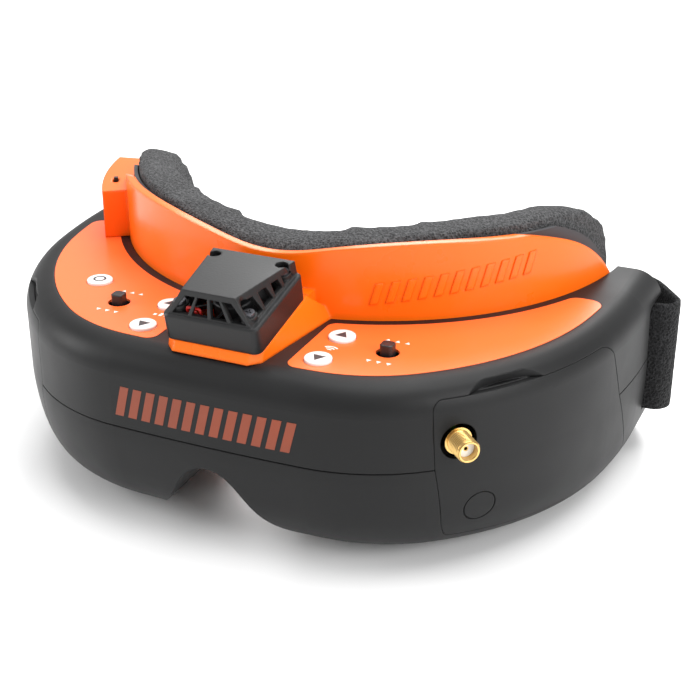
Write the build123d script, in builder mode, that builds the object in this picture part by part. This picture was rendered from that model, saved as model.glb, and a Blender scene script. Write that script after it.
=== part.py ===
from build123d import *
import os
from math import radians, sin, cos

os.makedirs("parts", exist_ok=True)

# ------------------------------------------------------------------ driving dimensions (mm)
CONTROL_Z = 57.0            # height of the flat control surface above the table
PARTING_Z = 33.7            # joint between the upper and lower shell
FRONT_Y = -64.0             # foremost point of the body
REAR_Y = 68.0               # length of the body blank before its slanted ends are cut
WALL = 2.6                  # shell wall
SHOULDER_R = 8.0            # rounding between the control surface and the walls
PLAN_ARCS = ((620.0, 0.0, 2.6), (52.0, 2.6, 38.0), (90.0, 38.0, 80.0), (180.0, 80.0, 88.0))
END_TOP_Y = 46.5            # slanted rear ends of the body, at the control surface ...
END_BOTTOM_Y = 57.0         # ... and at the table
ARCH_TOP = 26.5             # nose arch
ARCH_HALF = 41.0
LEVEL_TANGENTS = ((1, 0), (1, 0), (1, 0))

FACE_CENTER_Y = 55.1        # axis of the cylinder that the faceplate follows
FACE_R = 80.65              # front face of the faceplate
PLATE_T = 2.5               # faceplate thickness
BODY_REAR_R = FACE_R + 0.15

EYE_X = 32.0                # half the eye spacing at the middle of its range
EYE_Z = 31.0
EYE_TRAVEL = 2.5
BARREL_R = 13.0
RAIL_Z = 45.0
RAIL_R = 1.0

JOYSTICK = (40.8, -37.3)
KEY_FRONT = (26.1, -48.5)
KEY_REAR = (26.2, -33.6)
KEY_EXTRA = (-54.2, -26.5)
KEYS = {"button_volume_down": (-KEY_FRONT[0], KEY_FRONT[1]), "button_channel_down": KEY_FRONT,
        "button_volume_up": (-KEY_REAR[0], KEY_REAR[1]), "button_channel_up": KEY_REAR,
        "button_head_tracker": KEY_EXTRA}
KEY_R = 3.7
KEY_PROUD = 0.9
JOY_HOLE_R = 3.15

ANTENNA_FOOT = (64.3, -46.6)    # where the antenna axis leaves the door
ANTENNA_Z = 40.9
ANTENNA_R = 3.175
ANTENNA_PROUD = 6.3

DOOR_T = 1.5
DOOR_GAP = 0.15
DOOR_LEDGE = 2.2

BOARD_Z = 47.2              # underside of the main board
BOARD_T = 1.4
BOARD_TOP = BOARD_Z + BOARD_T
OVERLAY_T = 0.7
OVERLAY_RECESS = 0.6

FAN_SIZE = 25.0
FAN_T = 7.0
FAN_TILT = 12.0
FAN_SCREW = 10.0            # half the screw spacing
FAN_PLANE = Plane(origin=(0, -43.5, 62.5), x_dir=(1, 0, 0),
                  z_dir=(0, -sin(radians(FAN_TILT)), cos(radians(FAN_TILT))))

STRAP_W = 35.0
STRAP_T = 1.8
STRAP_REAR = -FRONT_Y       # rearmost face of the folded strap
STRAP_PINS = ((89.5, 44.0), (-89.5, 44.0))


def save(piece, name):
    """Label a finished piece and write it."""
    piece.label = name
    export_step(piece, f"parts/{name}.step")


def slide_plane(side):
    """Plane square to the direction in which a side door slides off."""
    return Plane(origin=(side * ANTENNA_FOOT[0], ANTENNA_FOOT[1], 0), x_dir=(1, side, 0), z_dir=(side, -1, 0))


# ------------------------------------------------------------------ body form
# depth below the parting line, inset of the sides, extra shift of the front
LOWER_PROFILE = ((0.0, 0.0, 0.0), (5.0, 0.0, 0.1), (12.0, 0.3, 0.9), (18.7, 0.9, 2.4), (24.0, 1.9, 5.0),
                 (28.0, 3.2, 8.4), (31.0, 4.6, 12.2), (33.0, 6.0, 16.2), (33.7, 7.0, 19.5))


def body_section(height, inset=0.0, shift=0.0, rear_inset=0.0):
    """One level outline of the body: a chain of tangent arcs round the front,
    straight ends, and a concave rear that follows the face."""
    rear_r = BODY_REAR_R + rear_inset
    rear_x = rear_r * sin(radians(85))
    rear_y = FACE_CENTER_Y - rear_r * cos(radians(85))
    with BuildSketch(Plane.XY.offset(height)) as level:
        with BuildLine():
            px, py = 0.0, FRONT_Y + shift
            for radius, start, end in PLAN_ARCS:
                cx = px - radius * sin(radians(start))
                cy = py + radius * cos(radians(start))
                CenterArc((cx, cy), radius - inset, start - 90, end - start)
                px = cx + radius * sin(radians(end))
                py = cy - radius * cos(radians(end))
            end_x = px - inset * sin(radians(88))
            end_y = py + inset * cos(radians(88))
            Line((end_x, end_y), (end_x + 0.3, REAR_Y))
            Line((end_x + 0.3, REAR_Y), (rear_x, REAR_Y))
            Line((rear_x, REAR_Y), (rear_x, rear_y))
            CenterArc((0, FACE_CENTER_Y), rear_r, -5, -85)
            mirror(about=Plane.YZ)
        make_face()
    return level.sketch


def body_solid(inset=0.0):
    """The outer form of both shells together, or the same form inset all round."""
    end_slope = (END_BOTTOM_Y - END_TOP_Y) / CONTROL_Z
    arch_foot = -0.5 + inset * 0.6
    with BuildPart() as form:
        extrude(body_section(PARTING_Z, inset, 0, inset), amount=CONTROL_Z - inset - PARTING_Z)
        rim = form.faces().sort_by(Axis.Z)[-1].edges().filter_by(
            lambda e: e.center().Y < REAR_Y - 1
            and (e.center().X ** 2 + (e.center().Y - FACE_CENTER_Y) ** 2) ** 0.5 > BODY_REAR_R + 3.5)
        fillet(rim, SHOULDER_R - inset)
        loft([body_section(PARTING_Z - depth * (1 - inset / PARTING_Z), side + inset, shift, inset)
              for depth, side, shift in LOWER_PROFILE])
        with BuildSketch(Plane.XZ.offset(-REAR_Y - 5)):
            with BuildLine():
                half = ARCH_HALF + inset
                Spline((-half, arch_foot), (0, ARCH_TOP + inset), (half, arch_foot), tangents=LEVEL_TANGENTS)
                Polyline((half, arch_foot), (half, -9), (-half, -9), (-half, arch_foot))
            make_face()
        extrude(amount=REAR_Y + 15 - FRONT_Y, mode=Mode.SUBTRACT)
        with BuildSketch(Plane.YZ.offset(-110)):
            Polygon((END_TOP_Y - inset - end_slope * 10, CONTROL_Z + 10),
                    (END_BOTTOM_Y - inset + end_slope * 10, -10),
                    (REAR_Y + 20, -10), (REAR_Y + 20, CONTROL_Z + 10), align=None)
        extrude(amount=220, mode=Mode.SUBTRACT)
    return form.part


OUTER = body_solid()
INNER = body_solid(WALL)

# ------------------------------------------------------------------ side doors
DOOR_POINTS = ((-7.4, 53.0), (-6.4, 33.7), (-2.9, 14.5), (-0.6, 9.5), (30, 7.6), (70.5, 6.5), (59.3, 33.7),
               (52.6, 53.0))
DOOR_RADII = (3.0, 20.0, 10.0, 3.0, 20.0, 3.0, 20.0, 8.0)
DOOR_OUT = 16.0             # the bar starts outside the body ...
DOOR_IN = 50.0              # ... and reaches this far in


def door_prism(side, grow=0.0):
    """A bar along the sliding direction with the outline of the door."""
    with BuildPart() as prism:
        with BuildSketch(slide_plane(side).offset(DOOR_OUT)):
            with BuildLine():
                FilletPolyline(*[(side * x, z) for x, z in DOOR_POINTS], radius=DOOR_RADII, close=True)
            make_face()
            if grow:
                offset(amount=grow, kind=Kind.INTERSECTION)
        extrude(amount=-DOOR_IN)
    return prism.part


def side_half(side):
    """Keeps a cut on its own side of the body."""
    with BuildPart() as half:
        with Locations((side * 80, 0, 30)):
            Box(70, 220, 100)
    return half.part


DOOR_SKIN = OUTER - body_solid(DOOR_T)
REBATE_SKIN = OUTER - body_solid(DOOR_T + 0.1)
SCORE_SKIN = OUTER - body_solid(0.45)
DOOR_HOLE_R = 5.0
KNOCKOUT = (7.4, 19.5)
for side, name in ((-1, "module_door_left"), (1, "module_door_right")):
    plate = DOOR_SKIN & door_prism(side, -DOOR_GAP) & side_half(side)
    with BuildPart() as door:
        add(plate)
        if side > 0:
            with BuildSketch(slide_plane(side).offset(DOOR_OUT)):
                with Locations((0, ANTENNA_Z)):
                    Circle(DOOR_HOLE_R)
            extrude(amount=-DOOR_IN, mode=Mode.SUBTRACT)
    with BuildPart() as ring:
        with BuildSketch(slide_plane(side).offset(-6)):
            with Locations((side * KNOCKOUT[0], KNOCKOUT[1])):
                Circle(4.75)
                Circle(4.4, mode=Mode.SUBTRACT)
        extrude(amount=12)
    # scored ring of the spare antenna hole
    save(door.part - (SCORE_SKIN & ring.part), name)

# ------------------------------------------------------------------ control surface cut-outs
OVERLAY_INSET = 8.8
OVERLAY_INNER_X = 19.4
OVERLAY_REACH = 82.0


def overlay_outline(side, height, grow=0.0):
    """Outline of a control panel film: parallel to the front, concave along the faceplate."""
    with BuildSketch(Plane.XY.offset(height)) as film:
        add(body_section(0, OVERLAY_INSET, 0, 2.75))
        with Locations((side * (OVERLAY_INNER_X + 40), FRONT_Y + OVERLAY_REACH / 2)):
            Rectangle(80, OVERLAY_REACH, mode=Mode.INTERSECT)
        fillet(film.vertices().filter_by(lambda v: abs(abs(v.X) - OVERLAY_INNER_X) < 0.01), 3.0)
        fillet(film.vertices().filter_by(lambda v: v.Y > FRONT_Y + OVERLAY_REACH - 0.1), 4.0)
        if grow:
            offset(amount=grow)
    return film.sketch


def control_holes(side, clearance):
    """Round holes for the keys and the joystick on one side."""
    with BuildPart() as holes:
        with BuildSketch(Plane.XY.offset(CONTROL_Z - 8)):
            for x, y in KEYS.values():
                if x * side > 0:
                    with Locations((x, y)):
                        Circle(KEY_R + clearance)
            with Locations((side * JOYSTICK[0], JOYSTICK[1])):
                Circle(JOY_HOLE_R)
        extrude(amount=12)
    return holes.part


for side, name in ((-1, "control_panel_left"), (1, "control_panel_right")):
    with BuildPart() as film:
        extrude(overlay_outline(side, CONTROL_Z - OVERLAY_RECESS), amount=OVERLAY_T)
        add(control_holes(side, 0.15), mode=Mode.SUBTRACT)
    save(film.part, name)

# ------------------------------------------------------------------ shells
SHELL_SCREWS = ((79.0, 12.8, 20.0), (-79.0, 12.8, 20.0), (9.0, -47.0, 27.4), (-9.0, -47.0, 27.4))
SHELL_SCREW_R = 1.2
SHELL_SCREW_L = 16.0
BOSS_R = 3.6
PLATE_SCREW_ANGLE = 53.0
PLATE_SCREWS = tuple((a, z) for a in (-PLATE_SCREW_ANGLE, PLATE_SCREW_ANGLE) for z in (14.0, 47.0))
PLATE_SCREW_R = 1.0
NOTCH_TOP = 50.0
NOTCH_BOTTOM = 14.0
NOTCH_X = 82.4
STRAP_PIN_R = 1.8
POWER_JACK = (-52.5, -19.5)
AUDIO_JACKS = {"av_jack": (-62.0, -10.5), "earphone_jack": (-70.0, -3.7)}
VIDEO_PORT = (52.0, -18.0)
POWER_NOSE_R = 3.9
POWER_BORE_R = 3.0
AUDIO_NOSE_R = 2.9
AUDIO_BORE_R = 1.8
SLIDER = (44.0, -32.0)
SLIDER_SIZE = (3.6, 4.0)
LEAD_X = (-5.0, -3.6)
LEAD_DROP = -11.05          # depth of the leads in the fan's notch
LEAD_Y = FAN_PLANE.from_local_coords((0, LEAD_DROP, -1.5)).Y


def radial_plane(angle, radius, height):
    """Plane square to a radius of the face cylinder, its normal pointing away from the axis."""
    nx, ny = sin(radians(angle)), -cos(radians(angle))
    return Plane(origin=(radius * nx, FACE_CENTER_Y + radius * ny, height), x_dir=(-ny, nx, 0), z_dir=(nx, ny, 0))


def eye_windows(width, height, corner):
    """Two rounded windows, extruded through the rear wall and the faceplate."""
    with BuildPart() as windows:
        with BuildSketch(Plane.XZ.offset(34)):
            with Locations((EYE_X, EYE_Z), (-EYE_X, EYE_Z)):
                RectangleRounded(width, height, corner)
        extrude(amount=-75)
    return windows.part


def strap_notches():
    """Rear corner notches that the strap passes through, slanting back towards the bottom."""
    with BuildPart() as notches:
        for side in (-1, 1):
            with BuildSketch(Plane.YZ.offset(side * NOTCH_X)):
                with BuildLine():
                    FilletPolyline((34.0, NOTCH_TOP), (39.5, NOTCH_BOTTOM), (80, NOTCH_BOTTOM), (80, NOTCH_TOP),
                                   radius=(2.0, 2.0, 0.5, 0.5), close=True)
                make_face()
            extrude(amount=side * 20)
    return notches.part


def rods(places, radius, low, high):
    """Upright round bars."""
    with BuildPart() as bars:
        with BuildSketch(Plane.XY.offset(low)):
            with Locations(*places):
                Circle(radius)
        extrude(amount=high - low)
    return bars.part


def end_blocks():
    """Thick rear corners that carry the strap pins."""
    with BuildPart() as blocks:
        with Locations((88, 45, 28.5), (-88, 45, 28.5)):
            Box(20, 34, 60)
    return blocks.part


hollow = OUTER - INNER + (OUTER & end_blocks()) - strap_notches() - eye_windows(34, 30, 7)
for side in (-1, 1):
    hollow = hollow - (REBATE_SKIN & door_prism(side) & side_half(side))
    hollow = hollow - (door_prism(side, -DOOR_LEDGE) & side_half(side))
hollow = hollow - rods(STRAP_PINS, STRAP_PIN_R, 10, 54)

THUMB_R = 28.0
THUMB_DEPTH = 1.8
with BuildPart() as upper_shell:
    add(hollow)
    split(bisect_by=Plane.XY.offset(PARTING_Z), keep=Keep.TOP)
    for side in (-1, 1):
        add(control_holes(side, 0.15), mode=Mode.SUBTRACT)
        extrude(overlay_outline(side, CONTROL_Z - OVERLAY_RECESS, 0.1), amount=3, mode=Mode.SUBTRACT)
    # thumb relief above each door
    thumb_low = DOOR_POINTS[0][1]
    for side in (-1, 1):
        middle = slide_plane(side).from_local_coords((side * 17.5, thumb_low, -3.4 + THUMB_R - THUMB_DEPTH))
        add(rods([(middle.X, middle.Y)], THUMB_R, thumb_low, thumb_low + 2.4), mode=Mode.SUBTRACT)
    for x, y, seat in SHELL_SCREWS:
        add(rods([(x, y)], BOSS_R - 0.4, PARTING_Z, CONTROL_Z - WALL + 0.1))
        add(rods([(x, y)], SHELL_SCREW_R + 0.05, PARTING_Z - 1, seat + SHELL_SCREW_L + 1.5), mode=Mode.SUBTRACT)
    for angle, height in PLATE_SCREWS:
        if height > PARTING_Z:
            with BuildSketch(radial_plane(angle, BODY_REAR_R + WALL - 0.3, height)):
                Circle(BOSS_R - 0.8)
            extrude(amount=4)
            with BuildSketch(radial_plane(angle, BODY_REAR_R - 1, height)):
                Circle(PLATE_SCREW_R + 0.05)
            extrude(amount=7.5, mode=Mode.SUBTRACT)
    # passage for the fan leads
    add(rods([(sum(LEAD_X) / 2, LEAD_Y)], 1.8, CONTROL_Z - 6, CONTROL_Z + 1), mode=Mode.SUBTRACT)
save(upper_shell.part, "upper_shell")

with BuildPart() as groove_band:
    with Locations((0, 0, PARTING_Z)):
        Box(220, 200, 0.8)
groove = SCORE_SKIN & groove_band.part
with BuildPart() as lower_shell:
    add(hollow)
    split(bisect_by=Plane.XY.offset(PARTING_Z), keep=Keep.BOTTOM)
    # fine shadow groove along the joint
    add(groove, mode=Mode.SUBTRACT)
    for x, y, seat in SHELL_SCREWS:
        add(rods([(x, y)], BOSS_R, 0.5, PARTING_Z - 0.2) & OUTER)
    for angle, height in PLATE_SCREWS:
        if height < PARTING_Z:
            with BuildSketch(radial_plane(angle, BODY_REAR_R + WALL - 0.3, height)):
                Circle(BOSS_R - 0.8)
            extrude(amount=4)
            with BuildSketch(radial_plane(angle, BODY_REAR_R - 1, height)):
                Circle(PLATE_SCREW_R + 0.05)
            extrude(amount=7.5, mode=Mode.SUBTRACT)
    for x, y, seat in SHELL_SCREWS:
        add(rods([(x, y)], 2.5, -1, seat), mode=Mode.SUBTRACT)
        add(rods([(x, y)], SHELL_SCREW_R + 0.1, seat - 1, PARTING_Z + 1), mode=Mode.SUBTRACT)
    add(rods([POWER_JACK], POWER_NOSE_R + 0.1, -1, 5), mode=Mode.SUBTRACT)
    add(rods(AUDIO_JACKS.values(), AUDIO_NOSE_R + 0.1, -1, 5), mode=Mode.SUBTRACT)
    with BuildSketch(Plane.XY.offset(-1)):
        with Locations(VIDEO_PORT):
            Rectangle(11.8, 4.4)
        with Locations((SLIDER[0], SLIDER[1]), (-SLIDER[0], SLIDER[1])):
            Rectangle(SLIDER_SIZE[0] + 2 * EYE_TRAVEL + 1.4, SLIDER_SIZE[1] + 1.2)
    extrude(amount=11, mode=Mode.SUBTRACT)
save(lower_shell.part, "lower_shell")

with BuildPart() as strap_pins:
    add(rods(STRAP_PINS, STRAP_PIN_R, 10.2, 53.8))
save(strap_pins.part, "strap_pins")

with BuildPart() as shell_screws:
    for x, y, seat in SHELL_SCREWS:
        add(rods([(x, y)], SHELL_SCREW_R, seat, seat + SHELL_SCREW_L))
        add(rods([(x, y)], 2.2, seat - 1.6, seat))
        with BuildSketch(Plane.XY.offset(seat - 1.6)):
            with Locations((x, y)):
                Rectangle(2.4, 0.6)
                Rectangle(0.6, 2.4)
        extrude(amount=0.8, mode=Mode.SUBTRACT)
save(shell_screws.part, "shell_screws")

# ------------------------------------------------------------------ keys and joysticks
SWITCH_H = 3.2
KEY_STEM_R = 1.5
KEY_TOP = CONTROL_Z + KEY_PROUD
for name, (x, y) in KEYS.items():
    with BuildPart() as key:
        add(rods([(x, y)], KEY_R, CONTROL_Z - WALL - 0.2, KEY_TOP))
        fillet(key.edges().group_by(Axis.Z)[-1], 0.4)
        add(rods([(x, y)], KEY_R + 0.8, CONTROL_Z - WALL - 0.9, CONTROL_Z - WALL - 0.2))
        add(rods([(x, y)], KEY_STEM_R, BOARD_TOP + SWITCH_H - 0.9, CONTROL_Z - WALL - 0.9))
    save(key.part, name)

with BuildPart() as switches:
    for x, y in KEYS.values():
        with BuildSketch(Plane.XY.offset(BOARD_TOP)):
            with Locations((x, y)):
                Rectangle(6, 6)
        extrude(amount=SWITCH_H)
        switch_top = BOARD_TOP + SWITCH_H
        add(rods([(x, y)], KEY_STEM_R + 0.3, switch_top - 1.6, switch_top + 1), mode=Mode.SUBTRACT)
save(switches.part, "key_switches")

JOY_PIVOT = BOARD_TOP + 3.3
for side, word in ((-1, "left"), (1, "right")):
    x, y = side * JOYSTICK[0], JOYSTICK[1]
    with BuildPart() as base:
        with BuildSketch(Plane.XY.offset(BOARD_TOP)):
            with Locations((x, y)):
                RectangleRounded(10, 10, 1)
        extrude(amount=5)
        add(rods([(x, y)], 4.0, BOARD_TOP + 1, BOARD_TOP + 6), mode=Mode.SUBTRACT)
    save(base.part, f"joystick_base_{word}")
    save(rods([(x, y)], 3.6, BOARD_TOP + 1.5, BOARD_TOP + 2.1), f"joystick_plunger_{word}")
    with BuildPart() as ring:
        add(rods([(x, y)], 3.3, JOY_PIVOT - 0.4, JOY_PIVOT + 0.4))
        add(rods([(x, y)], 2.3, JOY_PIVOT - 1, JOY_PIVOT + 1), mode=Mode.SUBTRACT)
    save(ring.part, f"joystick_ring_{word}")
    with BuildPart() as knob:
        add(rods([(x, y)], 0.9, JOY_PIVOT - 0.4, CONTROL_Z - 0.5))
        with BuildSketch(Plane.XY.offset(CONTROL_Z - 1.2)):
            with Locations((x, y)):
                Circle(2.1)
                Rectangle(3.6, 3.6, mode=Mode.INTERSECT)
        extrude(amount=4.0)
        fillet(knob.faces().sort_by(Axis.Z)[-1].edges(), 0.3)
    save(knob.part, f"joystick_knob_{word}")

# ------------------------------------------------------------------ main board
with BuildPart() as board:
    with BuildSketch(Plane.XY.offset(BOARD_Z)) as sheet:
        add(body_section(0, 5.0, 0, 6.0))
        with Locations((0, -24)):
            Rectangle(124, 80, mode=Mode.INTERSECT)
        with Locations((9.0, -47.0), (-9.0, -47.0)):
            Circle(4.4, mode=Mode.SUBTRACT)
    extrude(amount=BOARD_T)
save(board.part, "main_board")

# ------------------------------------------------------------------ eyepieces on their rails
RAIL_Y = (-39.3, -31.3)
BARREL_Y = (-43.3, -20.3)
with BuildPart() as rails:
    for y in RAIL_Y:
        with BuildSketch(Plane.YZ.offset(-48.5)):
            with Locations((y, RAIL_Z)):
                Circle(RAIL_R)
        extrude(amount=97)
save(rails.part, "eyepiece_rails")

with BuildPart() as brackets:
    for x in (-48.5, -1.0, 46.5):
        with BuildSketch(Plane.YZ.offset(x)):
            with Locations((sum(RAIL_Y) / 2, BOARD_Z - 2.1)):
                Rectangle(13, 4.2)
            with Locations(*[(y, RAIL_Z) for y in RAIL_Y]):
                Circle(RAIL_R, mode=Mode.SUBTRACT)
        extrude(amount=2)
save(brackets.part, "rail_brackets")

LENS_R = 11.2
LENS_Y = -25.0
LENS_T = 5.0
LENS_CURVE = 34.0
for side, word in ((-1, "left"), (1, "right")):
    center = side * EYE_X
    with BuildPart() as barrel:
        with BuildSketch(Plane.XZ.offset(-BARREL_Y[0])):
            with Locations((center, EYE_Z)):
                Circle(BARREL_R)
        extrude(amount=-(BARREL_Y[1] - BARREL_Y[0]))
        with Locations((center, sum(RAIL_Y) / 2, 44.4)):
            Box(16, 14, 4.8)
        # finger tab that reaches through the underside
        with Locations((side * SLIDER[0], SLIDER[1], 13.4)):
            Box(SLIDER_SIZE[0], SLIDER_SIZE[1], 25.2)
        with BuildSketch(Plane.XZ.offset(-BARREL_Y[0] + 1)):
            with Locations((center, EYE_Z)):
                Circle(LENS_R)
        extrude(amount=-30, mode=Mode.SUBTRACT)
        with BuildSketch(Plane.YZ.offset(center - 12)):
            with Locations(*[(y, RAIL_Z) for y in RAIL_Y]):
                Circle(RAIL_R + 0.04)
        extrude(amount=24, mode=Mode.SUBTRACT)
    save(barrel.part, f"eyepiece_barrel_{word}")
    with BuildPart() as lens:
        with Locations(Location((center, LENS_Y, EYE_Z), (90, 0, 0))):
            Cylinder(LENS_R, LENS_T)
        for back in (-1, 1):
            with Locations((center, LENS_Y + back * (LENS_T / 2 - LENS_CURVE), EYE_Z)):
                Sphere(LENS_CURVE, mode=Mode.INTERSECT)
    save(lens.part, f"lens_{word}")
    with BuildPart() as display:
        with Locations((center, -45.9, EYE_Z)):
            Box(24, 5.2, 22)
        with Locations((center, -43.5, EYE_Z)):
            Box(17, 1.0, 13, mode=Mode.SUBTRACT)
    save(display.part, f"display_{word}")

# ------------------------------------------------------------------ plug-in modules and antenna socket
for side, name in ((-1, "head_tracker_module"), (1, "receiver_module")):
    with BuildPart() as module:
        with BuildSketch(slide_plane(side).offset(-16)):
            with Locations((side * 9.75, 28.75)):
                RectangleRounded(26.5, 33.5, 1.5)
        extrude(amount=8)
    save(module.part, name)

with BuildPart() as socket:
    with BuildSketch(slide_plane(1).offset(-8)):
        with Locations((0, ANTENNA_Z)):
            RegularPolygon(4.6, 6)
    extrude(amount=2)
    with BuildSketch(slide_plane(1).offset(-6)):
        with Locations((0, ANTENNA_Z)):
            Circle(ANTENNA_R + 0.6)
    extrude(amount=6)
    with BuildSketch(slide_plane(1)):
        with Locations((0, ANTENNA_Z)):
            Circle(ANTENNA_R)
    extrude(amount=ANTENNA_PROUD)
    with BuildSketch(slide_plane(1).offset(ANTENNA_PROUD - 9.5)):
        with Locations((0, ANTENNA_Z)):
            Circle(2.3)
    extrude(amount=9.5, mode=Mode.SUBTRACT)
save(socket.part, "antenna_socket")
with BuildPart() as dielectric:
    with BuildSketch(slide_plane(1).offset(ANTENNA_PROUD - 9.5)):
        with Locations((0, ANTENNA_Z)):
            Circle(2.3)
            Circle(0.75, mode=Mode.SUBTRACT)
    extrude(amount=7.4)
save(dielectric.part, "socket_insulator")
with BuildPart() as contact:
    with BuildSketch(slide_plane(1).offset(ANTENNA_PROUD - 9.5)):
        with Locations((0, ANTENNA_Z)):
            Circle(0.75)
            Circle(0.48, mode=Mode.SUBTRACT)
    extrude(amount=7.3)
save(contact.part, "socket_contact")

# ------------------------------------------------------------------ jacks in the underside
JACK_FLOOR = WALL + 1.3
with BuildPart() as power_jack:
    with Locations((POWER_JACK[0], POWER_JACK[1], JACK_FLOOR + 5.0)):
        Box(9, 9, 10)
    add(rods([POWER_JACK], POWER_NOSE_R, 0.3, JACK_FLOOR + 1))
    add(rods([POWER_JACK], POWER_BORE_R, -1, 11), mode=Mode.SUBTRACT)
    add(rods([POWER_JACK], 1.0, 2.0, 12))
save(power_jack.part, "power_jack")
for name, place in AUDIO_JACKS.items():
    with BuildPart() as jack:
        with Locations((place[0], place[1], JACK_FLOOR + 6.5)):
            Box(7, 7, 13)
        add(rods([place], AUDIO_NOSE_R, 0.3, JACK_FLOOR + 1))
        add(rods([place], AUDIO_BORE_R, -1, 13.5), mode=Mode.SUBTRACT)
    save(jack.part, name)
with BuildPart() as video_port:
    with Locations((VIDEO_PORT[0], VIDEO_PORT[1], 4.6)):
        Box(11.4, 4.0, 8.4)
    with Locations((VIDEO_PORT[0], VIDEO_PORT[1], 3.4)):
        Box(10.4, 3.0, 6.4, mode=Mode.SUBTRACT)
    with Locations((VIDEO_PORT[0], VIDEO_PORT[1], 4.4)):
        Box(8.0, 0.8, 6.0)
save(video_port.part, "video_port")

# ------------------------------------------------------------------ faceplate with fan plinth and switch housing
PLATE_TOP = ((0, 74.5), (18, 76.9), (45, 79.1), (66, 77.8), (90, 76.5))
PLATE_END = ((-12, 80.8), (8.8, 77.3), (23, 71.6), (36.2, 61.8), (42, 55.6))
PLATE_FOOT = ((42, 7.5),)


def face_band(outer_r, inner_r, low, high):
    """A band of the face cylinder."""
    with BuildPart() as band:
        with BuildSketch(Plane.XY.offset(low)):
            with Locations((0, FACE_CENTER_Y)):
                Circle(outer_r)
                Circle(inner_r, mode=Mode.SUBTRACT)
        extrude(amount=high - low)
    return band.part


def face_outline(top_edge, end_edge, end_foot):
    """A block with the top edge of a face part in front view and the outline of its ends in side view."""
    with BuildPart() as block:
        with BuildSketch(Plane.XZ.offset(65)):
            with BuildLine():
                Spline(*top_edge, tangents=((1, 0), (1, -0.1)))
                Polyline(top_edge[-1], (top_edge[-1][0], 0), (0, 0))
                mirror(about=Plane.YZ)
            make_face()
        extrude(amount=-125)
        with BuildSketch(Plane.YZ.offset(-100)):
            with BuildLine():
                Spline(*end_edge)
                Polyline(end_edge[-1], *end_foot, (-70, end_foot[-1][1]), (-70, end_edge[0][1]), end_edge[0])
            make_face()
        extrude(amount=200, mode=Mode.INTERSECT)
    return block.part


def nose_cut(half, apex):
    """Bell-shaped bar that frees the nose."""
    with BuildPart() as bell:
        with BuildSketch(Plane.XZ.offset(62)):
            with BuildLine():
                Spline((-half, 0), (0, apex), (half, 0), tangents=LEVEL_TANGENTS)
                Polyline((half, 0), (half, -9), (-half, -9), (-half, 0))
            make_face()
        extrude(amount=-140)
    return bell.part


def wedge(from_angle, to_angle, reach=140):
    """A level sector about the face axis, on the side of negative X, for use in a sketch."""
    points = [(0, FACE_CENTER_Y)]
    for angle in (from_angle, to_angle):
        points.append((-reach * sin(radians(angle)), FACE_CENTER_Y - reach * cos(radians(angle))))
    return points


SWITCH_ANGLE = 62.0
SWITCH_R = 84.2
BLOCK_TOP = 72.3
BLOCK_ANGLES = (55.0, 78.0)
switch_x = -SWITCH_R * sin(radians(SWITCH_ANGLE))
switch_y = FACE_CENTER_Y - SWITCH_R * cos(radians(SWITCH_ANGLE))
switch_plane = Plane(origin=(switch_x, switch_y, 0),
                     x_dir=(-cos(radians(SWITCH_ANGLE)), sin(radians(SWITCH_ANGLE)), 0))

plate_form = face_band(FACE_R, FACE_R - PLATE_T, 4, 90)
plate_form = plate_form & face_outline(PLATE_TOP, PLATE_END, PLATE_FOOT)
with BuildPart() as plinth:
    with BuildSketch(Plane.XY.offset(CONTROL_Z)) as foot:
        Polygon((-11, -58.9), (11, -58.9), (13.8, -56), (18.8, -20), (-18.8, -20), (-13.8, -56), align=None)
    with BuildSketch(FAN_PLANE) as seat:
        Polygon((-11, -14.4), (11, -14.4), (13.9, -11.5), (13.9, 14.4), (-13.9, 14.4), (-13.9, -11.5), align=None)
    loft(ruled=True)
    with Locations((0, -24.0, (CONTROL_Z + 65.4) / 2)):
        Box(27.8, 9.6, 65.4 - CONTROL_Z)
with BuildPart() as fan_duct:
    with BuildSketch(FAN_PLANE.offset(1)):
        Circle(11.0)
    extrude(amount=-8)
    with Locations((0, -34, 60.6)):
        Box(18, 36, 5.0)
    with Locations((0, -34, 50 + 58.1)):
        Box(60, 80, 100, mode=Mode.INTERSECT)
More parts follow.
